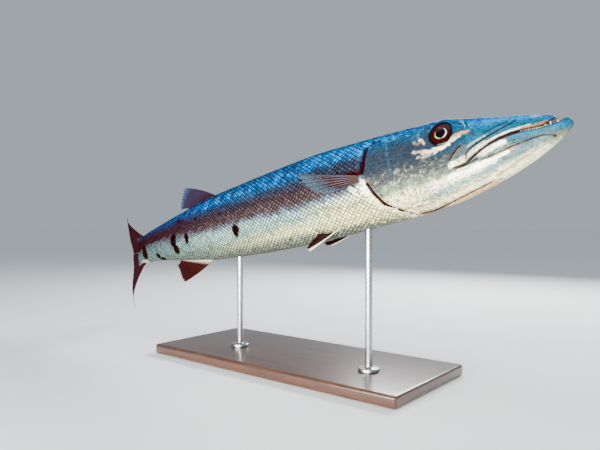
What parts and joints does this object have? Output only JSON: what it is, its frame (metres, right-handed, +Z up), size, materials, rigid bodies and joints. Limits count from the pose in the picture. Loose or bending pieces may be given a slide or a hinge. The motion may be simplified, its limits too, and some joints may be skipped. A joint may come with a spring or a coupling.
{
  "type": "great barracuda display model",
  "caption": "Life-size great barracuda swimming with its nose up and tail curving to its left, jaws a little open, fins spread, held over a flat base by two short rods.",
  "frame": {"origin": "middle of the underside of the stand's base, on the surface it stands on", "axes": "+X the way the fish swims, +Y to the fish's left, +Z up"},
  "size_m": [1.175, 0.24, 0.4239],
  "materials": {
    "head_skin": "smooth glossy painted skin, blue-green above and silver below",
    "body_skin": "silver scaled skin with a slate-blue back and dark blotches",
    "fin_skin": "dark red-brown rayed fin membrane",
    "paired_fin_skin": "grey translucent-looking rayed fin membrane",
    "eye": "wet dark eye with a pale ring",
    "stand_wood": "dark satin varnish",
    "stand_steel": "brushed rod"
  },
  "bodies": {
    "root": {"head": "head_skin", "lower_jaw": "head_skin", "throat": "head_skin", "gill_cover_right": "head_skin", "gill_cover_left": "head_skin", "cheek_plate_right": "head_skin", "cheek_plate_left": "head_skin", "maxilla_right": "head_skin", "maxilla_left": "head_skin", "eye_right": "eye", "eye_left": "eye", "torso_front": "body_skin", "torso_rear": "body_skin", "tail_stem": "body_skin", "dorsal_fin_first": "fin_skin", "dorsal_fin_second": "fin_skin", "anal_fin": "fin_skin", "caudal_fin_upper": "fin_skin", "caudal_fin_lower": "fin_skin", "pectoral_fin_right": "paired_fin_skin", "pectoral_fin_left": "paired_fin_skin", "pelvic_fin_right": "paired_fin_skin", "pelvic_fin_left": "paired_fin_skin", "stand_base": "stand_wood", "stand_rod_front": "stand_steel", "stand_rod_rear": "stand_steel"}
  },
  "joints": []
}
